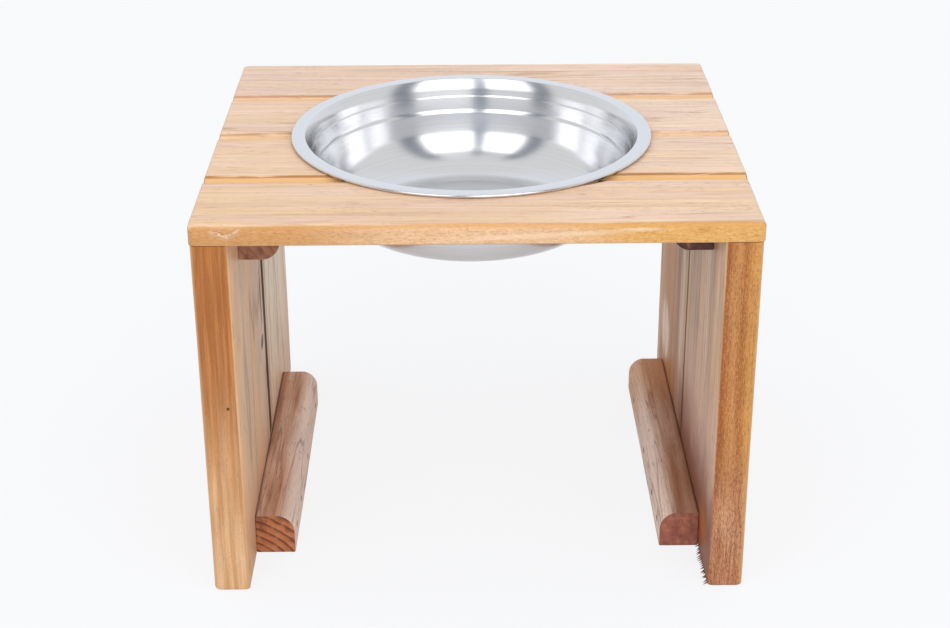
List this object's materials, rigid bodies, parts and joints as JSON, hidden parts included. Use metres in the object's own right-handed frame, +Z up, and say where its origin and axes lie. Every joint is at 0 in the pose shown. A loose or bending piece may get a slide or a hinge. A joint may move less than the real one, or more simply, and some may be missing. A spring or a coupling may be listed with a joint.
{
  "type": "raised dog feeder",
  "caption": "Raised pet feeder: a coved tongue-and-groove board top on two board sides, with nailed battens and a round lift-out steel bowl.",
  "frame": {"origin": "middle of the stand's footprint, on the floor", "axes": "+X to the right along the top boards, +Y to the back, +Z up"},
  "size_m": [0.342, 0.323, 0.2574],
  "materials": {
    "top_wood": "oiled satin",
    "side_wood": "oiled satin",
    "batten_wood": "weathered, oiled",
    "bowl_steel": "satin polished",
    "nail_steel": "dull"
  },
  "bodies": {
    "stand": {"top_front_board": "top_wood", "top_second_board_left": "top_wood", "top_second_board_right": "top_wood", "top_third_board_left": "top_wood", "top_third_board_right": "top_wood", "top_rear_board": "top_wood", "left_side_front_board": "side_wood", "left_side_rear_board": "side_wood", "right_side_front_board": "side_wood", "right_side_rear_board": "side_wood", "upper_left_batten": "batten_wood", "upper_right_batten": "batten_wood", "lower_left_batten": "batten_wood", "lower_right_batten": "batten_wood", "upper_left_top_nails": "nail_steel", "upper_right_top_nails": "nail_steel", "upper_left_side_nails": "nail_steel", "upper_right_side_nails": "nail_steel", "lower_left_side_nails": "nail_steel", "lower_right_side_nails": "nail_steel"},
    "bowl": {"food_bowl": "bowl_steel"}
  },
  "joints": [
    {"name": "bowl_lift", "type": "slide", "parent": "stand", "child": "bowl", "axis": [0, 0, 1], "range_m": [0, 0.12]}
  ]
}
